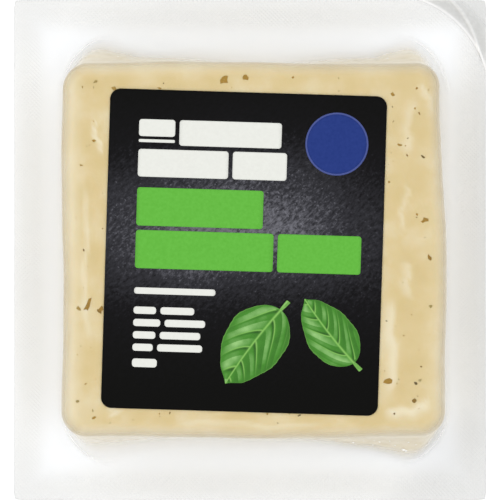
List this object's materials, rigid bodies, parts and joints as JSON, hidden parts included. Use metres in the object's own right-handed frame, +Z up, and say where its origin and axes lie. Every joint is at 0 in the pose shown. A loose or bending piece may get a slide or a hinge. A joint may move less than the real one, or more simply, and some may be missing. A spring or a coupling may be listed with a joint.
{
  "type": "vacuum-packed herb halloumi block",
  "caption": "A rectangular block of herb halloumi under clear formed film on a flat white back web, with a dark label stuck on top; it lies flat on its back.",
  "frame": {"origin": "middle of the pack's underside, in the plane it lies on", "axes": "+X to the right of the label, +Y to the head of the label, +Z up out of the label"},
  "size_m": [0.1134, 0.1202, 0.0246],
  "materials": {
    "white_web": "satin",
    "cheese_in_film": "soft cheese under clear glossy film",
    "dark_label": "satin printed"
  },
  "bodies": {
    "root": {"back_web": "white_web", "wrapped_block": "cheese_in_film", "label": "dark_label"}
  },
  "joints": []
}
